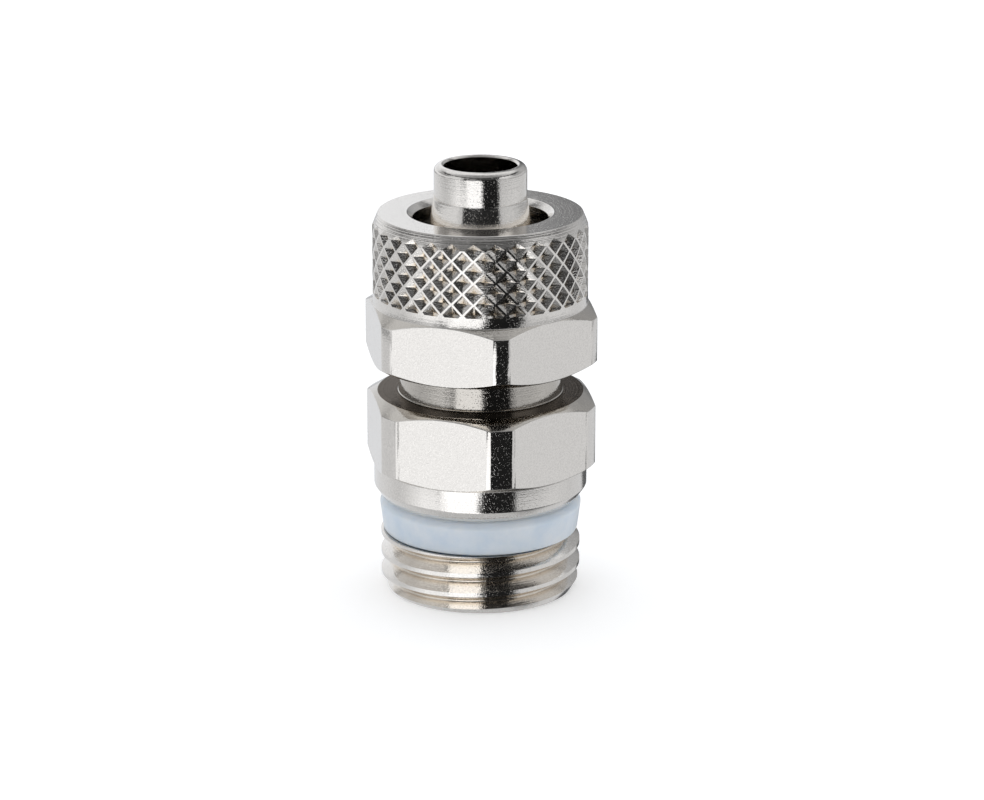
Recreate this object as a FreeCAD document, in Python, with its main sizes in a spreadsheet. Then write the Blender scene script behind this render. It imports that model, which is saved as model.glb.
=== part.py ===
"""Push-on connector for 8 x 6 mm pneumatic tube with a G 1/4 male thread.

The origin is the centre of the threaded end face and +Z runs up the axis to the tube spigot.
One corner of each hexagon points along -Y. All sizes are in millimetres and degrees.
"""

import FreeCAD, Part
import math
import os
import re
import Sketcher

# Driving dimensions: alias, value, what it measures.
SIZES = [
    ("overall_height", 28.35, "threaded end face to the tip of the spigot"),
    ("bore_dia", 4.7, "air passage"),
    ("bore_chamfer", 0.5, "lead-in of the passage at the threaded end"),
    ("stem_dia", 6.0, "straight tip of the spigot, the bore of the tube"),
    ("stem_straight", 2.2, "length of the straight tip"),
    ("stem_round", 0.45, "rounding of the outer lip of the tip, as two cones"),
    ("lip_chamfer", 0.12, "edge break of the inner lip of the tip"),
    ("cone_base_dia", 8.0, "large end of the clamping cone"),
    ("nut_thread_dia", 11.9, "crest of the fine thread that carries the nut"),
    ("nut_thread_length", 4.8, "fine thread with its two chamfers"),
    ("nut_thread_chamfer", 0.4, "chamfers of the fine thread"),
    ("neck_dia", 10.36, "relief between the body hexagon and the fine thread"),
    ("neck_height", 2.4, "length of that relief"),
    ("hex_across_flats", 14.0, "spanner size of the body"),
    ("body_corner_dia", 15.36, "turned corners of the body hexagon"),
    ("body_face_dia", 13.36, "flat top of the body hexagon inside its chamfer"),
    ("body_hex_height", 4.85, "body hexagon with its chamfers"),
    ("hex_chamfer_angle", 30.0, "chamfer of the hexagons, from the end face"),
    ("collar_dia", 13.9, "round collar under the body hexagon"),
    ("collar_height", 1.38, "straight part of the collar"),
    ("bevel_height", 0.75, "bevel from the collar down to the seal face"),
    ("seal_face_dia", 12.9, "face that presses on the sealing ring"),
    ("thread_major_dia", 13.05, "crest of the pipe thread"),
    ("thread_pitch", 1.337, "pitch of the pipe thread, 19 to the inch"),
    ("thread_depth", 0.84, "depth of the pipe thread"),
    ("thread_crest", 0.22, "flat left on the crest"),
    ("thread_angle", 55.0, "included angle of the flanks"),
    ("thread_length", 4.0, "pipe thread from the end face"),
    ("thread_entry_dia", 12.1, "small end of the entry chamfer"),
    ("thread_entry_height", 0.85, "height of the entry chamfer"),
    ("thread_phase", 0.2, "height of the groove centre below the end face, on the +X side"),
    ("seat_undercut", 0.03, "depth of the ring groove below the thread root"),
    ("ring_height", 2.3, "sealing ring"),
    ("ring_dia", 13.18, "widest part of the ring"),
    ("ring_foot_dia", 12.7, "lower edge of the ring"),
    ("ring_crown_dia", 12.3, "flat top of the ring"),
    ("ring_crown_height", 0.5, "rounded shoulder of the ring"),
    ("ring_clearance", 0.04, "gap between the ring and its groove, all round"),
    ("nut_gap", 2.0, "nut above the body hexagon, as it is screwed on here"),
    ("nut_length", 9.86, "nut, end to end"),
    ("nut_across_flats", 14.0, "spanner size of the nut"),
    ("nut_corner_dia", 15.66, "turned corners of the nut hexagon"),
    ("nut_face_dia", 13.8, "flat foot of the nut inside its chamfer"),
    ("nut_hex_height", 3.95, "nut hexagon with its chamfers"),
    ("nut_body_dia", 13.9, "knurled part of the nut"),
    ("nut_rim_dia", 13.2, "top face inside its bevel"),
    ("nut_rim_height", 0.84, "height of the top bevel"),
    ("nut_hole_dia", 8.7, "hole for the tube"),
    ("nut_hole_chamfer", 0.15, "edge break of the tube hole"),
    ("nut_land", 1.0, "thickness of the lip round the tube hole"),
    ("nut_clearance", 0.05, "radial gap between the fine thread and the bore of the nut"),
    ("nut_bore_depth", 7.5, "depth of the bore from the foot of the nut"),
    ("nut_bore_chamfer", 0.4, "lead-in of that bore"),
    ("knurl_count", 31, "diamonds round the nut"),
    ("knurl_rows", 7, "rows of diamonds, each half a diamond above the last"),
    ("knurl_start", 4.64, "lower end of the knurl, from the foot of the nut"),
    ("knurl_first_row", 0.15, "first row of pit centres above that end"),
    ("knurl_ridge", 0.11, "flat ridge between the pits"),
    ("knurl_angle", 90.0, "included angle of the pits"),
    ("knurl_turn", -2.0, "turn of the first pit from the -Y side, towards -X if negative"),
]

SHEET = "Sizes"


def make_sheet(doc):
    """Writes the driving dimensions into a spreadsheet, one row each."""
    sheet = doc.addObject("Spreadsheet::Sheet", SHEET)
    for row, (alias, value, note) in enumerate(SIZES, start=1):
        sheet.set("A%d" % row, alias)
        sheet.set("B%d" % row, str(value))
        sheet.set("C%d" % row, note)
        sheet.setAlias("B%d" % row, alias)
    doc.recompute()
    return sheet


def size(expression):
    """Puts the sheet's name before every alias in an expression."""
    aliases = {alias for alias, value, note in SIZES}

    def full_name(word):
        return SHEET + "." + word[0] if word[0] in aliases else word[0]

    return re.sub(r"\w+", full_name, expression)


def new_body(doc, label):
    body = doc.addObject("PartDesign::Body", label)
    body.Label = label
    return body


def new_sketch(body, name, role):
    """Starts a sketch on one of the body's own origin planes."""
    sketch = body.newObject("Sketcher::SketchObject", name)
    plane = next(item for item in body.Origin.OriginFeatures if item.Role == role)
    sketch.AttachmentSupport = [(plane, "")]
    sketch.MapMode = "FlatFace"
    return sketch


def fix_point(sketch, line, x_text, z_text):
    """Ties the start of a line to two expressions, or to an axis where one is zero."""
    for kind, text, axis in (("DistanceX", x_text, -2), ("DistanceY", z_text, -1)):
        if text == "0":
            sketch.addConstraint(Sketcher.Constraint("PointOnObject", line, 1, axis))
            continue
        value = float(sketch.evalExpression(size(text)))
        index = sketch.addConstraint(Sketcher.Constraint(kind, -1, 1, line, 1, value))
        sketch.setExpression("Constraints[%d]" % index, size(text))


def half_section(body, name, corners):
    """Draws a closed outline in the XZ plane, each corner given as (radius, height)."""
    sketch = new_sketch(body, name, "XZ_Plane")
    points = []
    for corner in corners:
        radius, height = (float(sketch.evalExpression(size(text))) for text in corner)
        points.append(FreeCAD.Vector(radius, height, 0))
    count = len(points)
    for index in range(count):
        sketch.addGeometry(Part.LineSegment(points[index], points[(index + 1) % count]), False)
    for index in range(count):
        sketch.addConstraint(
            Sketcher.Constraint("Coincident", index, 2, (index + 1) % count, 1))
    for index, (x_text, z_text) in enumerate(corners):
        fix_point(sketch, index, x_text, z_text)
    return sketch


def turn(body, kind, name, corners):
    """Revolves a half section about the body's axis, to add or to remove."""
    sketch = half_section(body, name + "_section", corners)
    feature = body.newObject("PartDesign::" + kind, name)
    feature.Profile = sketch
    feature.ReferenceAxis = (sketch, ["V_Axis"])
    feature.Angle = 360
    return feature


def hexagon_bar(body, name, across_flats, length):
    """Pads a hexagon with a corner on the -Y side up from the XY plane."""
    sketch = new_sketch(body, name + "_section", "XY_Plane")
    radius_text = across_flats + " / 2 / cos( 30 deg )"
    radius = float(sketch.evalExpression(size(radius_text)))
    sides = 6
    corners = []
    for index in range(sides):
        turned = FreeCAD.Rotation(FreeCAD.Vector(0, 0, 1), index * 360 / sides)
        corners.append(turned.multVec(FreeCAD.Vector(0, -radius, 0)))
    for index in range(sides):
        sketch.addGeometry(Part.LineSegment(corners[index], corners[(index + 1) % sides]), False)
    circle = sketch.addGeometry(
        Part.Circle(FreeCAD.Vector(0, 0, 0), FreeCAD.Vector(0, 0, 1), radius), True)
    sketch.addConstraint(Sketcher.Constraint("Coincident", circle, 3, -1, 1))
    for index in range(sides):
        sketch.addConstraint(
            Sketcher.Constraint("Coincident", index, 2, (index + 1) % sides, 1))
        sketch.addConstraint(Sketcher.Constraint("PointOnObject", index, 1, circle))
    for index in range(1, sides):
        sketch.addConstraint(Sketcher.Constraint("Equal", 0, index))
    sketch.addConstraint(Sketcher.Constraint("PointOnObject", 0, 1, -2))
    index = sketch.addConstraint(Sketcher.Constraint("Radius", circle, radius))
    sketch.setExpression("Constraints[%d]" % index, size(radius_text))
    pad = body.newObject("PartDesign::Pad", name)
    pad.Profile = sketch
    pad.setExpression("Length", size(length))
    return pad


# Heights of the main shoulders, each worked out from the sizes above it.
SEAL_FACE = "thread_length + ring_height + 2 * ring_clearance"
COLLAR_FOOT = "( " + SEAL_FACE + " + bevel_height )"
HEX_FOOT = "( " + COLLAR_FOOT + " + collar_height )"
HEX_TOP = "( " + HEX_FOOT + " + body_hex_height )"
NECK_TOP = "( " + HEX_TOP + " + neck_height )"
NUT_THREAD_TOP = "( " + NECK_TOP + " + nut_thread_length )"
CONE_TOP = "( overall_height - stem_straight )"
SEAT_RADIUS = "thread_major_dia / 2 - thread_depth - seat_undercut"


def chamfer_drop(corner_dia, inner_dia):
    """Height of a hexagon chamfer between two diameters."""
    return "( " + corner_dia + " - " + inner_dia + " ) / 2 * tan( hex_chamfer_angle * 1 deg )"


def make_connector_body(doc):
    """One turned piece: spigot, clamping cone, fine thread, hexagon, collar and pipe thread."""
    body = new_body(doc, "connector_body")
    hexagon_bar(body, "body_bar", "hex_across_flats", "overall_height")
    clear = "body_corner_dia"
    foot_chamfer = chamfer_drop("body_corner_dia", "collar_dia")
    top_chamfer = chamfer_drop("body_corner_dia", "body_face_dia")
    thread_flare = "( nut_thread_dia - neck_dia ) / 2"
    lip = "stem_round * ( 1 - cos( 45 deg ) )"
    turn(body, "Groove", "turned_outside", [
        (clear, "0"),
        ("thread_entry_dia / 2", "0"),
        ("thread_major_dia / 2", "thread_entry_height"),
        ("thread_major_dia / 2", "thread_length"),
        (SEAT_RADIUS, "thread_length"),
        (SEAT_RADIUS, SEAL_FACE),
        ("seal_face_dia / 2", SEAL_FACE),
        ("collar_dia / 2", COLLAR_FOOT),
        ("collar_dia / 2", HEX_FOOT),
        ("body_corner_dia / 2", HEX_FOOT + " + " + foot_chamfer),
        ("body_corner_dia / 2", HEX_TOP + " - " + top_chamfer),
        ("body_face_dia / 2", HEX_TOP),
        ("neck_dia / 2", HEX_TOP),
        ("neck_dia / 2", NECK_TOP + " - nut_thread_chamfer"),
        ("nut_thread_dia / 2", NECK_TOP + " - nut_thread_chamfer + " + thread_flare),
        ("nut_thread_dia / 2", NUT_THREAD_TOP + " - nut_thread_chamfer"),
        ("nut_thread_dia / 2 - nut_thread_chamfer", NUT_THREAD_TOP),
        ("cone_base_dia / 2", NUT_THREAD_TOP),
        ("stem_dia / 2", CONE_TOP),
        ("stem_dia / 2", "overall_height - stem_round"),
        ("stem_dia / 2 - " + lip, "overall_height - " + lip),
        ("stem_dia / 2 - stem_round", "overall_height"),
        (clear, "overall_height"),
    ])
    turn(body, "Groove", "air_passage", [
        ("0", "0"),
        ("bore_dia / 2 + bore_chamfer", "0"),
        ("bore_dia / 2", "bore_chamfer"),
        ("bore_dia / 2", "overall_height - lip_chamfer"),
        ("bore_dia / 2 + lip_chamfer", "overall_height"),
        ("0", "overall_height"),
    ])
    cut_pipe_thread(doc, body)
    return body


def bind(sketch, constraint, text):
    """Adds a constraint whose value follows an expression."""
    index = sketch.addConstraint(constraint)
    sketch.setExpression("Constraints[%d]" % index, size(text))


def cut_pipe_thread(doc, body):
    """Cuts the right-hand pipe thread as a helical groove with a narrow flat root.

    The groove starts below the end face and runs out into the ring groove, so that both
    ends of the thread are open.
    """
    doc.recompute()
    sketch = new_sketch(body, "pipe_thread_section", "XZ_Plane")
    flank = "tan( thread_angle * 0.5 deg )"
    clear = "thread_depth / 4"
    mouth_text = "thread_major_dia / 2 + " + clear
    root_text = "thread_major_dia / 2 - thread_depth"
    middle_text = "( thread_pitch + thread_phase )"
    mouth_half_text = "( ( thread_pitch - thread_crest ) / 2 + " + clear + " * " + flank + " )"
    root_half_text = "( ( thread_pitch - thread_crest ) / 2 - thread_depth * " + flank + " )"
    texts = (mouth_text, root_text, middle_text, mouth_half_text, root_half_text)
    mouth, root, middle, mouth_half, root_half = (
        float(sketch.evalExpression(size(text))) for text in texts)
    corners = [
        FreeCAD.Vector(mouth, -middle - mouth_half, 0),
        FreeCAD.Vector(mouth, -middle + mouth_half, 0),
        FreeCAD.Vector(root, -middle + root_half, 0),
        FreeCAD.Vector(root, -middle - root_half, 0),
    ]
    sides = len(corners)
    for index in range(sides):
        sketch.addGeometry(Part.LineSegment(corners[index], corners[(index + 1) % sides]), False)
    for index in range(sides):
        sketch.addConstraint(
            Sketcher.Constraint("Coincident", index, 2, (index + 1) % sides, 1))
    lid, upper, floor, lower = range(sides)
    sketch.addConstraint(Sketcher.Constraint("Vertical", lid))
    sketch.addConstraint(Sketcher.Constraint("Vertical", floor))
    sketch.addConstraint(Sketcher.Constraint("Equal", lower, upper))
    bind(sketch, Sketcher.Constraint("DistanceX", -1, 1, lid, 1, mouth), mouth_text)
    bind(sketch, Sketcher.Constraint("DistanceX", -1, 1, floor, 1, root), root_text)
    bind(sketch, Sketcher.Constraint("DistanceY", lid, 1, lid, 2, 2 * mouth_half),
         "2 * " + mouth_half_text)
    bind(sketch, Sketcher.Constraint("DistanceY", lid, 1, -1, 1, middle + mouth_half),
         middle_text + " + " + mouth_half_text)
    bind(sketch, Sketcher.Constraint("DistanceY", floor, 2, floor, 1, 2 * root_half),
         "2 * " + root_half_text)

    groove = body.newObject("PartDesign::SubtractiveHelix", "pipe_thread")
    groove.Profile = sketch
    groove.ReferenceAxis = (sketch, ["V_Axis"])
    groove.Mode = "pitch-height-angle"
    groove.setExpression("Pitch", size("thread_pitch"))
    groove.setExpression(
        "Height", size("thread_length + " + middle_text + " + thread_pitch - thread_crest"))
    doc.recompute()
    return groove


def make_clamp_nut(doc):
    """One turned piece: hexagon, diamond knurl, bevelled rim and a lip round the tube hole."""
    blank = new_body(doc, "nut_blank")
    hexagon_bar(blank, "nut_bar", "nut_across_flats", "nut_length")
    clear = "nut_corner_dia"
    foot_chamfer = chamfer_drop("nut_corner_dia", "nut_face_dia")
    top_chamfer = chamfer_drop("nut_corner_dia", "nut_body_dia")
    turn(blank, "Groove", "nut_outside", [
        (clear, "0"),
        ("nut_face_dia / 2", "0"),
        ("nut_corner_dia / 2", foot_chamfer),
        ("nut_corner_dia / 2", "nut_hex_height - " + top_chamfer),
        ("nut_body_dia / 2", "nut_hex_height"),
        ("nut_body_dia / 2", "nut_length - nut_rim_height"),
        ("nut_rim_dia / 2", "nut_length"),
        (clear, "nut_length"),
    ])
    bore = "( nut_thread_dia / 2 + nut_clearance )"
    hole = "nut_hole_dia / 2"
    turn(blank, "Groove", "nut_inside", [
        ("0", "0"),
        (bore + " + nut_bore_chamfer", "0"),
        (bore, "nut_bore_chamfer"),
        (bore, "nut_bore_depth"),
        (hole + " + nut_hole_chamfer", "nut_length - nut_land"),
        (hole, "nut_length - nut_land"),
        (hole, "nut_length - nut_hole_chamfer"),
        (hole + " + nut_hole_chamfer", "nut_length"),
        ("0", "nut_length"),
    ])
    doc.recompute()
    pits = doc.addObject("Part::Feature", "knurl_pits")
    pits.Shape = knurl_pits(doc.getObject(SHEET))
    nut = doc.addObject("Part::Cut", "clamp_nut")
    nut.Label = "clamp_nut"
    nut.Base = knurl_flats(doc, blank)
    nut.Tool = pits
    nut.setExpression(".Placement.Base.z", size(HEX_TOP + " + nut_gap"))
    return nut


def knurl_flats(doc, blank):
    """Gives the knurled zone two flats for each diamond round the nut.

    The flats lie within a hundredth of a millimetre of the turned surface, and they make
    every ridge between the pits straight.
    """
    sheet = doc.getObject(SHEET)
    plain = doc.addObject("Part::Cylinder", "plain_zone")
    plain.setExpression("Radius", size("nut_corner_dia"))
    plain.setExpression("Height", size("knurl_start"))
    flats = doc.addObject("Part::Prism", "flats_zone")
    flats.setExpression("Polygon", size("2 * knurl_count"))
    flats.setExpression("Circumradius", size("nut_body_dia / 2"))
    flats.setExpression("Height", size("nut_length - knurl_start"))
    flats.Placement.Rotation = FreeCAD.Rotation(
        FreeCAD.Vector(0, 0, 1), sheet.knurl_turn - 90)
    flats.setExpression(".Placement.Base.z", size("knurl_start"))
    zones = doc.addObject("Part::Fuse", "zones")
    zones.Base = plain
    zones.Tool = flats
    faceted = doc.addObject("Part::Common", "faceted_blank")
    faceted.Base = blank
    faceted.Tool = zones
    return faceted


def pyramid(base_half, height, depth_rate, angle):
    """A four-sided pyramid that points down to the axis, with its corners up, down and aside.

    base_half is the half diagonal of its base at the radius given by height.
    """
    apex = FreeCAD.Vector(0, -(height - base_half * depth_rate), 0)
    corners = [
        FreeCAD.Vector(base_half, -height, 0),
        FreeCAD.Vector(0, -height, base_half),
        FreeCAD.Vector(-base_half, -height, 0),
        FreeCAD.Vector(0, -height, -base_half),
    ]
    closed = corners + [corners[0]]
    faces = [Part.Face(Part.makePolygon(closed))]
    for start, end in zip(closed, closed[1:]):
        faces.append(Part.Face(Part.makePolygon([start, end, apex, start])))
    solid = Part.makeSolid(Part.makeShell(faces))
    if solid.Volume < 0:
        solid.reverse()
    solid.rotate(FreeCAD.Vector(0, 0, 0), FreeCAD.Vector(0, 0, 1), angle)
    return solid


def knurl_pits(sheet):
    """All the pits of the diamond knurl, in the nut's own frame.

    The ridges run at 45 degrees, so a diamond is as tall as it is wide. The pits are
    pyramids sunk between the ridges, and the lowest row is cut off level at the knurl's end.
    """
    radius = sheet.nut_body_dia / 2
    diamond = 2 * math.pi * radius / sheet.knurl_count
    half_diagonal = (diamond - sheet.knurl_ridge * math.sqrt(2)) / 2
    # Depth of a pit for each unit of half diagonal, by the angle between its opposite walls.
    depth_rate = 1 / math.tan(math.radians(sheet.knurl_angle / 2)) / math.sqrt(2)
    mouth = radius + half_diagonal / 2
    mouth_half = half_diagonal + (mouth - radius) / depth_rate
    step = 360 / sheet.knurl_count
    first = sheet.knurl_start + sheet.knurl_first_row
    zone = Part.makeCylinder(
        2 * radius, sheet.nut_length, FreeCAD.Vector(0, 0, sheet.knurl_start))
    pits = []
    for row in range(int(sheet.knurl_rows)):
        level = first + row * diamond / 2
        for column in range(int(sheet.knurl_count)):
            angle = sheet.knurl_turn + (column + row % 2 / 2) * step
            pit = pyramid(mouth_half, mouth, depth_rate, angle)
            pit.translate(FreeCAD.Vector(0, 0, level))
            if level - mouth_half < sheet.knurl_start:
                pit = pit.common(zone)
            pits.append(pit)
    return Part.makeCompound(pits)


def make_sealing_ring(doc):
    """The soft ring in the groove between the pipe thread and the collar."""
    ring = new_body(doc, "sealing_ring")
    inner = SEAT_RADIUS + " + ring_clearance"
    turn(ring, "Revolution", "ring_turned", [
        (inner, "0"),
        ("ring_foot_dia / 2", "0"),
        ("ring_dia / 2", "ring_height - ring_crown_height"),
        ("ring_crown_dia / 2", "ring_height"),
        (inner, "ring_height"),
    ])
    ring.setExpression(".Placement.Base.z", size("thread_length + ring_clearance"))
    return ring


def check(doc, parts):
    """Stops before anything is written if a feature failed or a shape is bad."""
    for item in doc.Objects:
        if "Invalid" in item.State or "Error" in item.State:
            raise RuntimeError("%s failed: %s" % (item.Name, item.State))
    for part in parts:
        shape = part.Shape
        if shape.isNull() or not shape.isValid() or not shape.Solids:
            raise RuntimeError("%s has no valid solid" % part.Label)


def main():
    os.makedirs("parts", exist_ok=True)
    doc = FreeCAD.newDocument("tube_connector")
    make_sheet(doc)
    parts = [make_connector_body(doc), make_sealing_ring(doc), make_clamp_nut(doc)]
    doc.recompute()
    check(doc, parts)
    for part in parts:
        shape = part.Shape
        shape.exportStep(os.path.join("parts", part.Label + ".step"))
        print(part.Label, "solids", len(shape.Solids), "faces", len(shape.Faces),
              "volume %.2f" % shape.Volume, shape.BoundBox)


main()
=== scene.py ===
"""Looks of the push-on tube connector: plated body, knurled clamp nut and soft sealing ring.

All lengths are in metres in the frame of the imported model: the origin is the centre of the
threaded end face and +Z runs up the axis to the tube spigot.
"""

import math

import bmesh
import bpy
from bpy.props import FloatProperty, IntProperty, PointerProperty, StringProperty
from mathutils import Matrix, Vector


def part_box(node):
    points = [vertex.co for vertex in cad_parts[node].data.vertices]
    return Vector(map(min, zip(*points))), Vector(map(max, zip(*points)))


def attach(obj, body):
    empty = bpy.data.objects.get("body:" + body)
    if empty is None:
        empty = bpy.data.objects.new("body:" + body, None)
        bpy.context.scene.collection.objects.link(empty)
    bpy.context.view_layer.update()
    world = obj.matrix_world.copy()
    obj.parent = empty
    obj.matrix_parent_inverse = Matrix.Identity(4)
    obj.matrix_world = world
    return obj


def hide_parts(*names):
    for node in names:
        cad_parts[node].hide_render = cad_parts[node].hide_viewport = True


bl_info = {
    "name": "Push-on tube connector",
    "version": (1, 0, 0),
    "blender": (4, 5, 0),
    "location": "View3D > Sidebar > Connector",
    "description": "Builds the dressed pieces of a push-on tube connector and its stage",
    "category": "Add Mesh",
}

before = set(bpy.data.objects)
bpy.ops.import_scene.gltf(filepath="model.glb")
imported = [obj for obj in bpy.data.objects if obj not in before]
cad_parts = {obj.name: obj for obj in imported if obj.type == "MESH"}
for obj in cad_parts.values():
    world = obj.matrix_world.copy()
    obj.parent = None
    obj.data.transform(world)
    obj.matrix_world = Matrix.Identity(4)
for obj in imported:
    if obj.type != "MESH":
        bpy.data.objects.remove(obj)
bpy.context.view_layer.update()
MM = 0.001
FULL_TURN = 2 * math.pi


def length(name, millimetres, description):
    """A length property whose default is given in millimetres."""
    return FloatProperty(
        name=name, description=description, default=millimetres * MM, min=0.0, precision=6,
        unit="LENGTH")


def angle(name, degrees, description):
    """An angle property whose default is given in degrees."""
    return FloatProperty(
        name=name, description=description, default=math.radians(degrees), subtype="ANGLE",
        unit="ROTATION")


def colour(name, code, description):
    """A colour property, kept as an sRGB hex code."""
    return StringProperty(name=name, description=description, default=code)


class ConnectorBodySizes(bpy.types.PropertyGroup):
    """Sizes of the turned body."""

    bore_dia: length("Bore", 4.7, "Air passage")
    bore_chamfer: length("Bore chamfer", 0.5, "Lead-in at the threaded end")
    stem_dia: length("Stem", 6.0, "Straight tip of the spigot")
    stem_straight: length("Stem straight", 2.2, "Length of the straight tip")
    stem_round: length("Stem rounding", 0.45, "Rounding of the outer lip")
    lip_chamfer: length("Lip chamfer", 0.12, "Edge break of the inner lip")
    cone_base_dia: length("Cone base", 8.0, "Large end of the clamping cone")
    neck_dia: length("Neck", 10.36, "Relief between the hexagon and the fine thread")
    neck_height: length("Neck height", 2.4, "Length of that relief")
    burr: length("Burr", 0.05, "Burr left at the foot of the relief")
    neck_taper: length("Neck taper", 0.16, "How far the foot of the relief stands out")
    across_flats: length("Across flats", 13.99, "Spanner size")
    corner_dia: length("Corner diameter", 15.36, "Turned corners of the hexagon")
    face_dia: length("Face diameter", 13.36, "Flat top of the hexagon inside its chamfer")
    hex_height: length("Hexagon height", 4.85, "Hexagon with its chamfers")
    collar_dia: length("Collar", 13.9, "Round collar under the hexagon")
    collar_height: length("Collar height", 1.38, "Straight part of the collar")
    bevel_height: length("Bevel height", 0.75, "Bevel from the collar to the seal face")
    seal_face_dia: length("Seal face", 12.9, "Face that presses on the ring")
    seat_dia: length("Ring seat", 11.31, "Floor of the ring groove")


class PipeThreadSizes(bpy.types.PropertyGroup):
    """Sizes of the pipe thread, a right-hand groove that runs out at both ends."""

    major_dia: length("Crest", 13.05, "Crest diameter")
    pitch: length("Pitch", 1.337, "Rise in one turn")
    depth: length("Depth", 0.84, "Crest to root")
    crest: length("Crest flat", 0.27, "Flat left on the crest")
    flank: angle("Flank", 27.5, "Lean of each flank")
    root_round: length("Root rounding", 0.1, "Reach of the rounding at the root")
    thread_length: length("Length", 4.0, "From the end face")
    entry_dia: length("Entry", 12.1, "Small end of the entry chamfer")
    entry_height: length("Entry height", 0.85, "Height of the entry chamfer")
    phase: length("Phase", 0.2, "Groove centre below the end face on the +X side")


class FineThreadSizes(bpy.types.PropertyGroup):
    """Sizes of the fine thread that carries the nut."""

    major_dia: length("Crest", 11.9, "Crest diameter on the body")
    pitch: length("Pitch", 1.0, "Rise in one turn")
    depth: length("Depth", 0.56, "Crest to root")
    crest: length("Crest flat", 0.125, "Flat left on the crest")
    flank: angle("Flank", 30.0, "Lean of each flank")
    thread_length: length("Length", 4.8, "Thread with its chamfers")
    chamfer: length("Chamfer", 0.4, "Chamfers at both ends")
    root_gap: length("Root gap", 0.05, "Body crest to nut root")
    side_gap: length("Side gap", 0.08, "Play along the axis on each flank")


class ClampNutSizes(bpy.types.PropertyGroup):
    """Sizes of the clamp nut, from its foot up."""

    across_flats: length("Across flats", 13.99, "Spanner size")
    corner_dia: length("Corner diameter", 15.65, "Turned corners of the hexagon")
    face_dia: length("Foot diameter", 13.8, "Flat foot inside its chamfer")
    hex_height: length("Hexagon height", 3.95, "Hexagon with its chamfers")
    barrel_dia: length("Barrel", 13.9, "Knurled part")
    rim_dia: length("Rim", 13.2, "Top face inside its bevel")
    rim_height: length("Rim height", 0.84, "Height of the top bevel")
    hole_dia: length("Tube hole", 8.7, "Hole for the tube")
    hole_chamfer: length("Hole chamfer", 0.35, "Countersink of the tube hole")
    land: length("Land", 1.0, "Thickness of the lip round the tube hole")
    bore_depth: length("Bore depth", 7.5, "Depth of the bore from the foot")
    thread_depth: length("Thread depth", 6.2, "Depth of the threaded part of the bore")
    bore_chamfer: length("Bore chamfer", 0.4, "Lead-in of the bore outside the thread root")


class KnurlSizes(bpy.types.PropertyGroup):
    """Sizes of the diamond knurl on the nut."""

    count: IntProperty(name="Diamonds", description="Diamonds round the nut", default=31, min=3)
    rows: IntProperty(name="Rows", description="Rows, half a diamond apart", default=7, min=1)
    start: length("Start", 4.64, "Lower end of the knurl, from the foot of the nut")
    first_row: length("First row", 0.15, "First pit centres above that end")
    ridge: length("Ridge", 0.11, "Flat ridge between the pits")
    slope: angle("Slope", 40.0, "Slope of each pit wall into the barrel")
    turn: angle("Turn", -2.0, "Turn of the first pit from the -Y side")


class SealingRingSizes(bpy.types.PropertyGroup):
    """Sizes of the sealing ring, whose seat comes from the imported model."""

    outer_dia: length("Outer", 13.18, "Widest part")
    foot_dia: length("Foot", 12.7, "Lower edge")
    crown_dia: length("Crown", 12.3, "Flat top")
    crown_height: length("Crown height", 0.5, "Rounded shoulder")
    clearance: length("Clearance", 0.04, "Gap to the floor of its groove")


class ConnectorFinish(bpy.types.PropertyGroup):
    """Colours of the finishes."""

    nickel: colour("Nickel", "E8E3DC", "Bright nickel plating")
    # Painted shade: a darker, browner tone for the roots of the grooves
    groove_shade_nickel: colour("Groove shade nickel", "E0D6C8", "Painted shade in the roots of grooves")
    # Painted shade: a darker tone for the upper chamfers of the hexagons, the bores and the
    # neck
    half_shade_nickel: colour("Half shade nickel", "C8C2B9", "Painted shade on chamfers and in recesses")
    # Painted shade: a dark tone for the face of the hexagon that lies under the nut
    deep_shade_nickel: colour("Deep shade nickel", "6E6459", "Face of the hexagon under the nut")
    ring: colour("Ring", "E0E6EC", "Milky fluoropolymer")
    ring_shade: colour("Ring shade", "CDDAE7", "Thinner, bluer patches of the ring")
    floor: colour("Floor", "FFFFFF", "Table top")


class ConnectorStage(bpy.types.PropertyGroup):
    """Camera and surroundings."""

    distance: length("Distance", 225.0, "Camera to the axis, level")
    height: length("Height", 81.4, "Camera above the table")
    azimuth: angle("Azimuth", -10.0, "Camera round the axis, 0 looks along +Y")
    pitch: angle("Pitch", 17.01, "Camera looks down by this much")
    lens: FloatProperty(
        name="Lens", description="Focal length in millimetres", default=132.2, unit="CAMERA")
    shift: FloatProperty(name="Shift", description="Share of the frame's width", default=0.0118)
    floor_size: length("Floor", 3000.0, "Side of the square table top")


# Roundings of machined edges, and of moulded ones
EDGE_ROUND = 0.05 * MM
FINE_ROUND = 0.03 * MM
SOFT_ROUND = 0.12 * MM
ROUND_STEPS = 3

# Faces round a turned piece, and in one turn of a thread
COLUMNS = 360
THREAD_STEPS = 180

# How far a thread's cutter stands out beyond the crest
CUTTER_REACH = 0.05 * MM

# Points nearer than this are one point where the foot of the knurl is cut level
MERGE_DISTANCE = 0.0005 * MM

# Turn from one flat of a hexagon to the next, slope of its chamfers, and the least angle
# between two faces that makes their edge sharp
SECTOR = FULL_TURN / 6
HEX_CHAMFER = math.radians(30)
SHARP_ANGLE = math.radians(25)

# Finishes of the metal, in the order of a piece's material slots. The third is painted shade on
# the upper chamfers of the hexagons, in the bores and on the neck, and the fifth a deeper
# painted shade on the face of the hexagon under the nut
BRIGHT, DRAWN, HALF_SHADE, RIDGED, DEEP_SHADE = range(5)

# The flats of a hexagon are upright faces this far out that face the middle of a sector, and
# its upper chamfers are faces of that slope this far out. The limits tell how far a normal
# may stray.
FLAT_RADIUS = 6.9 * MM
UPRIGHT_LIMIT = 0.01
FACING_LIMIT = 0.002
CHAMFER_RADIUS = 6.6 * MM
SLOPE_LIMIT = 0.05

# Upward or downward part of the normal of a level face
LEVEL = 0.9999


# Mesh helpers

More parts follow.
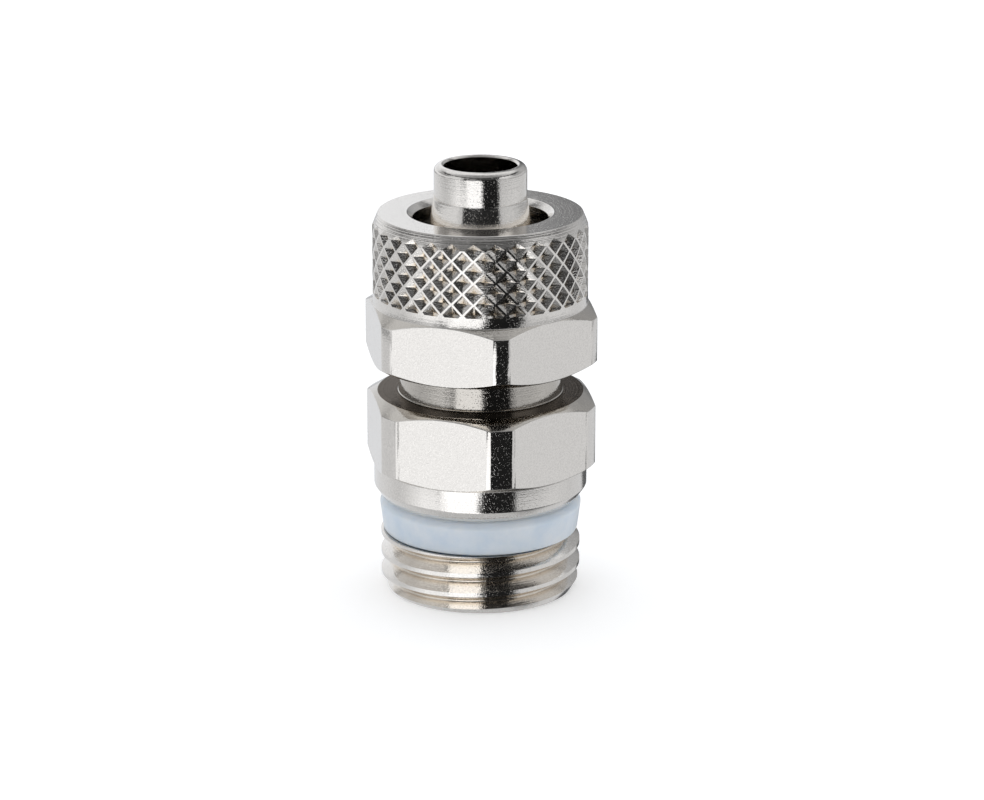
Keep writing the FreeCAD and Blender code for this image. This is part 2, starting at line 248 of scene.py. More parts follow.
def draw_outline(bm, corners):
    """Draws a closed outline in the XZ plane from corners of radius, height and rounding.

    The rounding may be left out.
    """
    verts = []
    for corner in corners:
        verts.append(bm.verts.new((corner[0], 0, corner[1])))
    for start, end in zip(verts, verts[1:] + verts[:1]):
        bm.edges.new((start, end))
    for vert, corner in zip(verts, corners):
        if len(corner) > 2:
            steps = max(ROUND_STEPS, round(corner[2] / EDGE_ROUND))
            bmesh.ops.bevel(
                bm, geom=[vert], offset=corner[2], offset_type="OFFSET", segments=steps,
                profile=0.5, affect="VERTICES", clamp_overlap=False, material=-1)


def turned_mesh(corners):
    """Spins an outline about the axis into a closed mesh."""
    bm = bmesh.new()
    draw_outline(bm, corners)
    bmesh.ops.spin(
        bm, geom=bm.verts[:] + bm.edges[:], cent=(0, 0, 0), axis=(0, 0, 1), dvec=(0, 0, 0),
        angle=FULL_TURN, steps=COLUMNS, use_merge=True, use_duplicate=False)
    bmesh.ops.recalc_face_normals(bm, faces=bm.faces[:])
    return bm


def to_object(bm, name):
    """Stores a bmesh as a new object at the origin."""
    mesh = bpy.data.meshes.new(name)
    bm.to_mesh(mesh)
    bm.free()
    piece = bpy.data.objects.new(name, mesh)
    bpy.context.scene.collection.objects.link(piece)
    return piece


def press_hexagon(bm, across_flats, middle):
    """Presses six flats into the widest turned band, with a corner towards -Y.

    Where a flat cuts in, the edge of the band follows the 30 degree chamfer cone.
    """
    apothem = across_flats / 2
    column = FULL_TURN / COLUMNS
    wall = [v for v in bm.verts if math.hypot(v.co.x, v.co.y) > apothem + EDGE_ROUND / 10]
    for vert in wall:
        radius = math.hypot(vert.co.x, vert.co.y)
        around = math.atan2(vert.co.y, vert.co.x)
        flat = round(around / SECTOR) * SECTOR
        corner_start = math.acos(apothem / radius)
        beside = around - flat
        if abs(abs(beside) - corner_start) < column / 2:
            beside = math.copysign(corner_start, beside)
        pressed = min(radius, apothem / math.cos(beside))
        step = (radius - pressed) * math.tan(HEX_CHAMFER)
        height = vert.co.z + math.copysign(step, vert.co.z - middle)
        vert.co = (
            pressed * math.cos(flat + beside), pressed * math.sin(flat + beside), height)
    in_wall = set(wall)
    edges = [e for e in bm.edges if e.verts[0] in in_wall and e.verts[1] in in_wall]
    sharp = [e for e in edges if e.calc_face_angle(0) > SHARP_ANGLE / 2]
    bmesh.ops.bevel(
        bm, geom=sharp, offset=FINE_ROUND, offset_type="OFFSET", segments=2, profile=0.5,
        affect="EDGES", clamp_overlap=False, material=-1)


def metal_zone(face, areas):
    """Which finish a face has: drawn on the flats of a hexagon, painted shade on its upper
    chamfers, that of the area where the face lies, or bright.

    An area is a finish, a smallest and largest radius, and a lowest and highest height.
    """
    normal = face.normal
    around = math.atan2(normal.y, normal.x)
    beside = abs(around - round(around / SECTOR) * SECTOR)
    middle = face.calc_center_median()
    radius = math.hypot(middle.x, middle.y)
    if radius > FLAT_RADIUS and abs(normal.z) < UPRIGHT_LIMIT and beside < FACING_LIMIT:
        return DRAWN
    if radius > CHAMFER_RADIUS and abs(normal.z - math.cos(HEX_CHAMFER)) < SLOPE_LIMIT:
        return HALF_SHADE
    for finish, inner, outer, low, high in areas:
        if inner < radius < outer and low < middle.z < high:
            return finish
    return BRIGHT


def helical_cutter(name, corners, pitch, turns):
    """Sweeps a closed outline up a right-hand helix, closed at both ends."""
    bm = bmesh.new()
    draw_outline(bm, corners)
    count = round(turns * THREAD_STEPS)
    bmesh.ops.spin(
        bm, geom=bm.verts[:] + bm.edges[:], cent=(0, 0, 0), axis=(0, 0, 1),
        dvec=(0, 0, pitch / THREAD_STEPS), angle=count * FULL_TURN / THREAD_STEPS,
        steps=count, use_duplicate=False)
    open_edges = [e for e in bm.edges if e.is_boundary]
    bmesh.ops.holes_fill(bm, edges=open_edges, sides=0)
    bmesh.ops.recalc_face_normals(bm, faces=bm.faces[:])
    return to_object(bm, name)


def cut(piece, cutter):
    """Cuts one closed mesh out of another and keeps the result as the piece's own mesh."""
    modifier = piece.modifiers.new("cut", "BOOLEAN")
    modifier.operation = "DIFFERENCE"
    modifier.solver = "MANIFOLD"
    modifier.object = cutter
    bpy.context.view_layer.update()
    evaluated = piece.evaluated_get(bpy.context.evaluated_depsgraph_get())
    mesh = bpy.data.meshes.new_from_object(evaluated)
    old_meshes = (piece.data, cutter.data)
    piece.modifiers.clear()
    piece.data = mesh
    bpy.data.objects.remove(cutter)
    for old in old_meshes:
        bpy.data.meshes.remove(old)


def finish_piece(piece, materials, zone, node, body):
    """Shades a piece smooth up to its sharp edges and lets it stand for a node.

    zone tells which of the materials a face takes. Level faces and drawn flats stay flat.
    """
    piece.data.materials.clear()
    for material in materials:
        piece.data.materials.append(material)
    bm = bmesh.new()
    bm.from_mesh(piece.data)
    if not bm.faces or any(not e.is_manifold for e in bm.edges):
        raise RuntimeError(piece.name + " is not a closed mesh")
    for face in bm.faces:
        face.material_index = zone(face)
        face.smooth = face.material_index != DRAWN and abs(face.normal.z) < LEVEL
    for edge in bm.edges:
        edge.smooth = edge.calc_face_angle(0) < SHARP_ANGLE
    bm.to_mesh(piece.data)
    bm.free()
    weighted = piece.modifiers.new("even shading", "WEIGHTED_NORMAL")
    weighted.keep_sharp = True
    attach(piece, body)
    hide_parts(node)


# Pieces

def body_levels(settings):
    """Heights of the seal face, the foot of the collar, the foot and top of the hexagon, and
    the top of the neck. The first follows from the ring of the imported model.
    """
    body = settings.body
    ring_low, ring_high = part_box("sealing_ring")
    seal_face = ring_high.z + (ring_low.z - settings.pipe_thread.thread_length)
    collar_foot = seal_face + body.bevel_height
    hex_foot = collar_foot + body.collar_height
    hex_top = hex_foot + body.hex_height
    return seal_face, collar_foot, hex_foot, hex_top, hex_top + body.neck_height


def body_outline(settings):
    """Corners of the turned body, up the outside and back down the bore."""
    body, pipe, fine = settings.body, settings.pipe_thread, settings.fine_thread
    seal_face, collar_foot, hex_foot, hex_top, neck_top = body_levels(settings)
    fine_top = neck_top + fine.thread_length
    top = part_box("connector_body")[1].z
    lean = math.tan(HEX_CHAMFER)
    foot_drop = (body.corner_dia - body.collar_dia) / 2 * lean
    top_drop = (body.corner_dia - body.face_dia) / 2 * lean
    flare = (fine.major_dia - body.neck_dia) / 2
    bore = body.bore_dia / 2
    neck_foot = body.neck_dia / 2 + body.neck_taper
    return [
        (bore + body.bore_chamfer, 0, FINE_ROUND),
        (pipe.entry_dia / 2, 0, EDGE_ROUND),
        (pipe.major_dia / 2, pipe.entry_height),
        (pipe.major_dia / 2, pipe.thread_length, FINE_ROUND),
        (body.seat_dia / 2, pipe.thread_length),
        (body.seat_dia / 2, seal_face),
        (body.seal_face_dia / 2, seal_face, EDGE_ROUND),
        (body.collar_dia / 2, collar_foot, EDGE_ROUND),
        (body.collar_dia / 2, hex_foot, FINE_ROUND),
        (body.corner_dia / 2, hex_foot + foot_drop),
        (body.corner_dia / 2, hex_top - top_drop),
        (body.face_dia / 2, hex_top, EDGE_ROUND),
        (neck_foot + body.burr, hex_top),
        (neck_foot + body.burr, hex_top + body.burr, FINE_ROUND / 2),
        (neck_foot, hex_top + 2 * body.burr),
        (body.neck_dia / 2, neck_top - fine.chamfer),
        (fine.major_dia / 2, neck_top - fine.chamfer + flare, FINE_ROUND),
        (fine.major_dia / 2, fine_top - fine.chamfer, FINE_ROUND),
        (fine.major_dia / 2 - fine.chamfer, fine_top, FINE_ROUND),
        (body.cone_base_dia / 2, fine_top, EDGE_ROUND),
        (body.stem_dia / 2, top - body.stem_straight, EDGE_ROUND),
        (body.stem_dia / 2, top, body.stem_round),
        (bore + body.lip_chamfer, top, FINE_ROUND / 2),
        (bore, top - body.lip_chamfer, FINE_ROUND / 2),
        (bore, body.bore_chamfer, FINE_ROUND),
    ]


def groove_outline(thread, middle, rounding):
    """Section of a thread groove open to the outside, centred at a height."""
    crest = thread.major_dia / 2
    lean = math.tan(thread.flank)
    mouth = crest + CUTTER_REACH
    mouth_half = (thread.pitch - thread.crest) / 2 + CUTTER_REACH * lean
    root = crest - thread.depth
    root_half = (thread.pitch - thread.crest) / 2 - thread.depth * lean
    return [
        (mouth, middle - mouth_half),
        (mouth, middle + mouth_half),
        (root, middle + root_half, rounding),
        (root, middle - root_half, rounding),
    ]


def build_body(settings):
    """The turned body with its two threads."""
    body, pipe, fine = settings.body, settings.pipe_thread, settings.fine_thread
    hex_foot, hex_top, neck_top = body_levels(settings)[2:]
    bm = turned_mesh(body_outline(settings))
    press_hexagon(bm, body.across_flats, (hex_foot + hex_top) / 2)
    piece = to_object(bm, "threaded_body")
    start = -pipe.pitch - pipe.phase
    turns = (pipe.thread_length - start + pipe.pitch - pipe.crest) / pipe.pitch
    groove = groove_outline(pipe, start, pipe.root_round)
    cut(piece, helical_cutter("pipe_groove", groove, pipe.pitch, turns))
    # This cutter starts beside the neck and ends beside the cone, clear of both.
    start = neck_top - fine.pitch
    turns = (fine.thread_length + 2 * fine.pitch) / fine.pitch
    groove = groove_outline(fine, start, FINE_ROUND)
    cut(piece, helical_cutter("fine_groove", groove, fine.pitch, turns))
    return piece


def body_areas(settings):
    """The bore, and the relief above the hexagon with the face at its foot, all in painted
    shade, darkest on the face.
    """
    body = settings.body
    hex_top, neck_top = body_levels(settings)[3:]
    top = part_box("connector_body")[1].z
    bore = body.bore_dia / 2 + EDGE_ROUND
    neck = body.neck_dia / 2 + body.neck_taper + 2 * body.burr
    above, below = hex_top + EDGE_ROUND / 2, hex_top - EDGE_ROUND / 2
    return [
        (HALF_SHADE, 0, bore, body.bore_chamfer, top - body.lip_chamfer),
        (HALF_SHADE, bore, neck, above, neck_top),
        (DEEP_SHADE, bore, body.face_dia / 2, below, above)]


def body_groove_shade(settings):
    """Where the pipe thread gets painted shade, a darker, browner tone in its grooves: the
    lowest and highest height, the radius of the full tint and the radius where it ends.
    """
    pipe = settings.pipe_thread
    crest = pipe.major_dia / 2
    tint_end = 0.45 * MM
    return pipe.entry_height / 2, pipe.thread_length, crest - pipe.depth, crest - tint_end


def nut_outline(nut, fine, foot):
    """Corners of the clamp nut, up the outside and back down the bore."""
    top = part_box("clamp_nut")[1].z
    lean = math.tan(HEX_CHAMFER)
    foot_drop = (nut.corner_dia - nut.face_dia) / 2 * lean
    top_drop = (nut.corner_dia - nut.barrel_dia) / 2 * lean
    root = fine.major_dia / 2 + fine.root_gap
    crest = fine.major_dia / 2 - fine.depth + fine.root_gap
    hole = nut.hole_dia / 2
    mouth = root + nut.bore_chamfer
    return [
        (mouth, foot, FINE_ROUND),
        (nut.face_dia / 2, foot, FINE_ROUND),
        (nut.corner_dia / 2, foot + foot_drop),
        (nut.corner_dia / 2, foot + nut.hex_height - top_drop),
        (nut.barrel_dia / 2, foot + nut.hex_height, FINE_ROUND),
        (nut.barrel_dia / 2, top - nut.rim_height, EDGE_ROUND),
        (nut.rim_dia / 2, top, EDGE_ROUND),
        (hole + nut.hole_chamfer, top, FINE_ROUND),
        (hole, top - nut.hole_chamfer, FINE_ROUND),
        (hole, top - nut.land),
        (root, foot + nut.bore_depth),
        (root, foot + nut.thread_depth + root - crest),
        (crest, foot + nut.thread_depth),
        (crest, foot + mouth - crest),
    ]


def nut_groove_outline(fine, middle):
    """Section of the thread groove in the nut, open to the bore, round a ridge of the body."""
    crest = fine.major_dia / 2
    lean = math.tan(fine.flank)
    root = crest + fine.root_gap
    mouth = crest - fine.depth
    root_half = fine.crest / 2 - fine.root_gap * lean + fine.side_gap
    mouth_half = fine.crest / 2 + fine.depth * lean + fine.side_gap
    return [
        (root, middle - root_half),
        (root, middle + root_half),
        (mouth, middle + mouth_half),
        (mouth, middle - mouth_half),
    ]


def knurl_cutter(nut, knurl, foot):
    """All the pits of the knurl: four-sided cones with a corner up, sunk between the ridges."""
    radius = nut.barrel_dia / 2
    diamond = FULL_TURN * radius / knurl.count
    half_diagonal = (diamond - knurl.ridge * math.sqrt(2)) / 2
    depth_rate = math.tan(knurl.slope) / math.sqrt(2)
    reach = knurl.ridge / 4
    mouth_half = half_diagonal + reach / depth_rate
    depth = mouth_half * depth_rate
    start = foot + knurl.start
    bm = bmesh.new()
    for row in range(knurl.rows):
        level = start + knurl.first_row + row * diamond / 2
        for column in range(knurl.count):
            around = knurl.turn + (column + row % 2 / 2) * FULL_TURN / knurl.count
            out = Matrix.Rotation(around, 4, "Z")
            out @= Matrix.Translation((0, -(radius + reach - depth / 2), level))
            out @= Matrix.Rotation(-math.pi / 2, 4, "X")
            bmesh.ops.create_cone(
                bm, cap_ends=True, segments=4, radius1=mouth_half, radius2=0, depth=depth,
                matrix=out)
    cut_line = bmesh.ops.bisect_plane(
        bm, geom=bm.verts[:] + bm.edges[:] + bm.faces[:], dist=MERGE_DISTANCE,
        plane_co=(0, 0, start), plane_no=(0, 0, 1), clear_inner=True)
    line = [item for item in cut_line["geom_cut"] if isinstance(item, bmesh.types.BMEdge)]
    bmesh.ops.holes_fill(bm, edges=line, sides=0)
    bmesh.ops.recalc_face_normals(bm, faces=bm.faces[:])
    return to_object(bm, "knurl_pits")


def build_nut(settings):
    """The clamp nut with its knurl and its thread."""
    nut, fine = settings.nut, settings.fine_thread
    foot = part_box("clamp_nut")[0].z
    bm = turned_mesh(nut_outline(nut, fine, foot))
    press_hexagon(bm, nut.across_flats, foot + nut.hex_height / 2)
    piece = to_object(bm, "knurled_nut")
    cut(piece, knurl_cutter(nut, settings.knurl, foot))
    # The odd half pitch puts this groove round the ridge of the body's thread.
    start = body_levels(settings)[-1] - 2.5 * fine.pitch
    turns = (nut.thread_depth + 3 * fine.pitch) / fine.pitch
    groove = nut_groove_outline(fine, start)
    cut(piece, helical_cutter("nut_groove", groove, fine.pitch, turns))
    return piece


def nut_areas(settings):
    """The inside of the nut, in painted shade, and the bevel round its top."""
    nut = settings.nut
    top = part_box("clamp_nut")[1].z
    inside = settings.fine_thread.major_dia / 2 + 2 * EDGE_ROUND
    return [
        (HALF_SHADE, 0, inside, 0, top - nut.land),
        (RIDGED, inside, nut.barrel_dia / 2, top - nut.rim_height, top - FINE_ROUND)]


def nut_pit_shade(settings):
    """Where the pits of the knurl get painted shade, a darker, browner tone, in the order of
    body_groove_shade.
    """
    low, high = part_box("clamp_nut")
    barrel = settings.nut.barrel_dia / 2
    tint_full, tint_end = 0.3 * MM, 0.15 * MM
    return (
        low.z + settings.knurl.start, high.z - settings.nut.rim_height, barrel - tint_full,
        barrel - tint_end)


def build_ring(settings):
    """The soft ring in its groove."""
    ring = settings.ring
    low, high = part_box("sealing_ring")
    inner = settings.body.seat_dia / 2 + ring.clearance
    corners = [
        (inner, low.z),
        (ring.foot_dia / 2, low.z, SOFT_ROUND),
        (ring.outer_dia / 2, high.z - ring.crown_height, SOFT_ROUND),
        (ring.crown_dia / 2, high.z, SOFT_ROUND),
        (inner, high.z),
    ]
    return to_object(turned_mesh(corners), "soft_ring")


# Materials

def linear(code):
    """Turns an sRGB hex code into linear red, green, blue and alpha."""
    parts = [int(code[start:start + 2], 16) / 255 for start in (0, 2, 4)]
    flat = [p / 12.92 if p <= 0.04045 else ((p + 0.055) / 1.055) ** 2.4 for p in parts]
    return (*flat, 1.0)


def add(tree, kind, inputs=None, **settings):
    """Adds a node, sets its properties, and sets or links its inputs by name or number."""
    node = tree.nodes.new(kind)
    for name, value in settings.items():
        setattr(node, name, value)
    for name, value in (inputs or {}).items():
        if isinstance(value, bpy.types.NodeSocket):
            tree.links.new(value, node.inputs[name])
        else:
            node.inputs[name].default_value = value
    return node


def new_material(name):
    """Starts a material with an empty node tree, and returns both."""
    material = bpy.data.materials.new(name)
    material.use_nodes = True
    material.node_tree.nodes.clear()
    return material, material.node_tree


def radius_and_height(tree):
    """Object coordinates, distance from the axis and height above the table, in metres."""
    place = add(tree, "ShaderNodeTexCoord").outputs["Object"]
    parts = add(tree, "ShaderNodeSeparateXYZ", {0: place})
    level = add(tree, "ShaderNodeVectorMath", {0: place, 1: (1, 1, 0)}, operation="MULTIPLY")
    radius = add(tree, "ShaderNodeVectorMath", {0: level.outputs[0]}, operation="LENGTH")
    return place, radius.outputs["Value"], parts.outputs["Z"]


def nickel_plated_brass(settings, name, tone, sheen, roughness, line_depth, grain, groove_shade):
    """Bright nickel on turned brass.

    The tool leaves fine rings round the axis, which blur reflections along it. The plating
    adds an orange-peel grain, faintly mottled, with a few deeper specks that sparkle. The
    grain is drawn coarser than the real one, which would not show at this distance. sheen is
    the grey that the metal keeps at grazing angles, line_depth the depth of the rings, and
    grain the width and depth of the orange peel. tinted is where the grooves get painted
    shade, a darker, browner tone deepest at their roots, as body_groove_shade gives it.
    """
    material, tree = new_material(name)
    place, radius, height = radius_and_height(tree)
    section = add(tree, "ShaderNodeCombineXYZ", {"X": radius, "Z": height}).outputs[0]
    ring_spacing = 0.12 * MM
    patch_size = 1.6 * MM
    grain_size, grain_depth = grain
    lines = add(tree, "ShaderNodeTexNoise", {
        "Vector": section, "Scale": 1 / ring_spacing, "Detail": 2.0, "Roughness": 0.7})
    skin = add(tree, "ShaderNodeTexNoise", {
        "Vector": place, "Scale": 1 / grain_size, "Detail": 1.0, "Roughness": 0.5})
    specks = add(tree, "ShaderNodeMapRange", {
        "Value": skin.outputs["Fac"], "From Min": 0.62, "From Max": 0.72, "To Min": 0.0,
        "To Max": 1.0}, interpolation_type="SMOOTHSTEP")
    peel = add(tree, "ShaderNodeMath", {0: skin.outputs["Fac"], 1: specks.outputs[0]},
               operation="ADD")
    patches = add(tree, "ShaderNodeTexNoise", {
        "Vector": place, "Scale": 1 / patch_size, "Detail": 3.0})
    line_bump = add(tree, "ShaderNodeBump", {
        "Strength": 1.0, "Distance": line_depth, "Height": lines.outputs["Fac"]})
    bump = add(tree, "ShaderNodeBump", {
        "Strength": 1.0, "Distance": grain_depth, "Height": peel.outputs[0],
        "Normal": line_bump.outputs["Normal"]})
    # Painted shade: towards the roots of the grooves the tone turns darker and browner.
    low, high, full, end = groove_shade
    depth = add(tree, "ShaderNodeMapRange", {
        "Value": radius, "From Min": full, "From Max": end, "To Min": 1.0, "To Max": 0.0},
        interpolation_type="SMOOTHSTEP")
    between = add(tree, "ShaderNodeMath", {
        0: height, 1: (low + high) / 2, 2: (high - low) / 2}, operation="COMPARE")
    tint = add(tree, "ShaderNodeMath", {0: depth.outputs[0], 1: between.outputs[0]},
               operation="MULTIPLY")
    base = add(tree, "ShaderNodeMix", {
        "Factor": tint.outputs[0], 6: linear(tone), 7: linear(settings.finish.groove_shade_nickel)},
        data_type="RGBA")
    mottle = add(tree, "ShaderNodeMapRange", {
        "Value": skin.outputs["Fac"], "From Min": 0.35, "From Max": 0.65, "To Min": 0.93,
        "To Max": 1.06})
    mottled = add(tree, "ShaderNodeMix", {
        "Factor": 1.0, 6: base.outputs[2], 7: mottle.outputs[0]}, data_type="RGBA",
        blend_type="MULTIPLY")
    rough = add(tree, "ShaderNodeMapRange", {
        "Value": patches.outputs["Fac"], "From Min": 0.3, "From Max": 0.7,
        "To Min": roughness * 0.8, "To Max": roughness * 1.25})
    shader = add(tree, "ShaderNodeBsdfPrincipled", {
        "Base Color": mottled.outputs[2], "Metallic": 1.0, "Roughness": rough.outputs[0],
        "Specular Tint": (sheen, sheen, sheen, 1.0), "Normal": bump.outputs["Normal"]})
    add(tree, "ShaderNodeOutputMaterial", {"Surface": shader.outputs[0]})
    return material


def metal_finishes(settings, piece_name, grooves):
    """The finishes of a metal piece, in the order of BRIGHT to DEEP_SHADE.

    A row is the name, tone, sheen, roughness, depth of the rings, grain and the grooves with
    painted shade. The third row is painted shade all over, the fifth a deeper painted shade
    with less sheen.
    """
    colours = settings.finish
    nickel, half_shade, stained = colours.nickel, colours.half_shade_nickel, colours.deep_shade_nickel
    peel = (0.10 * MM, 0.003 * MM)
    flat_peel = (0.10 * MM, 0.0022 * MM)
    nowhere = (0, 0, 0, MM)
    rows = [
        ("bright turned", nickel, 1.0, 0.09, 0.006 * MM, peel, grooves),
        ("drawn flats", nickel, 1.0, 0.13, 0.0, flat_peel, nowhere),
        # Painted shade on the upper chamfers of the hexagon, in the bores and on the neck
        ("recessed", half_shade, 1.0, 0.07, 0.004 * MM, peel, nowhere),
        ("ridged bevel", nickel, 1.0, 0.12, 0.03 * MM, peel, nowhere),
        # Painted shade, the deepest: the face of the hexagon under the nut, with less sheen at
        # grazing angles
        ("stained", stained, 0.6, 0.16, 0.01 * MM, peel, nowhere),
    ]
    materials = []
    for finish, *values in rows:
        name = "nickel plated brass, " + finish + " " + piece_name
        materials.append(nickel_plated_brass(settings, name, *values))
    return materials


def milky_fluoropolymer(settings):
    """Milky translucent fluoropolymer, moulded smooth and slightly waxy."""
    material, tree = new_material("milky fluoropolymer")
    place = add(tree, "ShaderNodeTexCoord").outputs["Object"]
    cloud_size = 1.8 * MM
    cloud = add(tree, "ShaderNodeTexNoise", {
        "Vector": place, "Scale": 1 / cloud_size, "Detail": 4.0, "Roughness": 0.6})
    clouded = add(tree, "ShaderNodeMapRange", {
        "Value": cloud.outputs["Fac"], "From Min": 0.3, "From Max": 0.7})
    base = add(tree, "ShaderNodeMix", {
        "Factor": clouded.outputs[0], 6: linear(settings.finish.ring_shade),
        7: linear(settings.finish.ring)}, data_type="RGBA")
    bump = add(tree, "ShaderNodeBump", {
        "Strength": 0.4, "Distance": 0.01 * MM, "Height": cloud.outputs["Fac"]})
    shader = add(tree, "ShaderNodeBsdfPrincipled", {
        "Base Color": base.outputs[2], "Roughness": 0.38, "IOR": 1.38,
        "Subsurface Weight": 0.7, "Subsurface Radius": (0.8, 0.9, 1.0),
        "Subsurface Scale": 0.6 * MM, "Normal": bump.outputs["Normal"]})
    add(tree, "ShaderNodeOutputMaterial", {"Surface": shader.outputs[0]})
    return material


def table_top(settings):
    """White matt table top.

    To the camera it glows a little, so that it stays white round the part. Metal sees the
    bright surroundings through it, as it would see a lit table, except under the part, where
    no light comes up the bore.
    """
    material, tree = new_material("white table")
    glow = 0.25
    hidden_radius = 6.0 * MM
    path = add(tree, "ShaderNodeLightPath")
    radius = radius_and_height(tree)[1]
    matt = add(tree, "ShaderNodeBsdfDiffuse", {"Color": linear(settings.finish.floor)})
    lift = add(tree, "ShaderNodeEmission", {"Strength": glow})
    seen = add(tree, "ShaderNodeAddShader", {0: matt.outputs[0], 1: lift.outputs[0]})
    by_camera = add(tree, "ShaderNodeMixShader", {
        0: path.outputs["Is Camera Ray"], 1: matt.outputs[0], 2: seen.outputs[0]})
    beside = add(tree, "ShaderNodeMath", {0: radius, 1: hidden_radius},
                 operation="GREATER_THAN")
    through = add(tree, "ShaderNodeMath", {
        0: beside.outputs[0], 1: path.outputs["Is Glossy Ray"]}, operation="MULTIPLY")
    clear = add(tree, "ShaderNodeBsdfTransparent")
    mixed = add(tree, "ShaderNodeMixShader", {
        0: through.outputs[0], 1: by_camera.outputs[0], 2: clear.outputs[0]})
    add(tree, "ShaderNodeOutputMaterial", {"Surface": mixed.outputs[0]})
    return material


# Stage

# Brightness of the surroundings by the angle round the axis from the camera's side, in
# degrees, positive to the right, in seven bands from the table up. A black card leans in
# front on the right below eye level, and the front is dark above it, as the room behind the
# camera is. A dark strip stands behind the part.
NEAR_TABLE = [
    (-180, 0.86), (-100, 0.62), (-62, 0.75), (-52, 0.80), (-50, 0.30), (-47, 0.30),
    (-44, 1.7), (0, 1.7), (3, 0.015), (42, 0.015), (48, 0.05), (80, 0.08), (105, 0.35),
    (125, 0.70), (150, 0.75), (155, 0.12), (174, 0.12), (178, 0.86), (180, 0.86),
]
TABLE = [
    (-180, 0.86), (-125, 0.80), (-98, 0.70), (-85, 0.80), (-62, 1.15), (-48, 1.15),
    (-35.5, 1.14), (-32, 1.38), (0, 1.38), (3, 0.015), (42, 0.015), (46, 0.72), (90, 0.80),
    (120, 0.70), (150, 0.75), (155, 0.12), (174, 0.12), (178, 0.86), (180, 0.86),
]
FAR_TABLE = [
    (-180, 0.60), (-110, 0.35), (-75, 0.46), (-52, 0.67), (-49, 0.35), (-45, 0.55),
    (-41, 0.30), (-36, 0.35), (-33, 1.35), (0, 1.35), (3, 0.01), (40, 0.01), (45, 0.55),
    (75, 0.50), (110, 0.42), (180, 0.60),
]
SIDES = [
    (-180, 1.0), (-130, 1.0), (-95, 0.85), (-60, 0.85), (-44, 0.65), (-40, 0.03),
    (42, 0.02), (50, 0.62), (75, 0.70), (130, 0.60), (160, 0.35), (176, 0.04), (180, 0.04),
]
HEIGHTS = [
    (-180, 1.0), (-140, 0.90), (-125, 0.45), (-95, 0.30), (-75, 0.80), (-50, 0.85),
    (-40, 0.30), (-12, 0.30), (-6, 0.07), (45, 0.07), (50, 0.95), (75, 0.95), (95, 0.35),
    (125, 0.45), (140, 0.50), (165, 0.40), (176, 0.20), (178.4, 0.21), (179.4, 0.36),
    (180, 0.40),
]
UPPER_WALLS = [
    (-180, 0.90), (-140, 0.70), (-115, 0.06), (-60, 0.04), (60, 0.04), (115, 0.06),
    (140, 0.50), (170, 0.50), (176, 0.20), (180, 0.20),
]
CEILING = [
    (-180, 1.0), (-120, 0.90), (-80, 0.45), (-20, 0.30), (60, 0.30), (120, 0.80), (180, 1.0),
]

# The bands with the two heights, in degrees above the horizon, between which each takes over
# from the one below
BANDS = (
    (-72, -62, NEAR_TABLE), (-32, -27, TABLE), (-9.5, -8.5, FAR_TABLE), (-4, -2, SIDES),
    (8, 13, HEIGHTS), (27, 30, UPPER_WALLS), (37, 42, CEILING))
UNDERSIDE = 0.60
COOL_LIGHT = "F7FAFF"
MATT_LIGHT = 1.18

# Lean of the card to either side, in radians, and the sines of the heights of its ends
CARD_LEAN = 0.078
CARD_FOOT = -0.35
CARD_HEAD = -0.23


def brightness_ramp(tree, turn, stops):
    """A ramp from stops of an angle in degrees and a brightness."""
    share = add(tree, "ShaderNodeMapRange", {
        "Value": turn.outputs[0], "From Min": -math.pi, "From Max": math.pi})
    node = add(tree, "ShaderNodeValToRGB", {"Fac": share.outputs[0]})
    ramp = node.color_ramp
    ramp.elements.remove(ramp.elements[-1])
    for index, (degrees, grey) in enumerate(stops):
        position = (degrees + 180) / 360
        element = ramp.elements[0] if index == 0 else ramp.elements.new(position)
        element.position = position
        element.color = (grey, grey, grey, 1)
    return node.outputs[0]


def above_edge(tree, rise, start, end, under, over):
    """Changes from one brightness to another between two heights in degrees."""
    share = add(tree, "ShaderNodeMapRange", {
        "Value": rise, "From Min": math.sin(math.radians(start)),
        "From Max": math.sin(math.radians(end))})
    mixed = add(tree, "ShaderNodeMix", {"Factor": share.outputs[0], 6: under, 7: over},
                data_type="RGBA")
    return mixed.outputs[2]


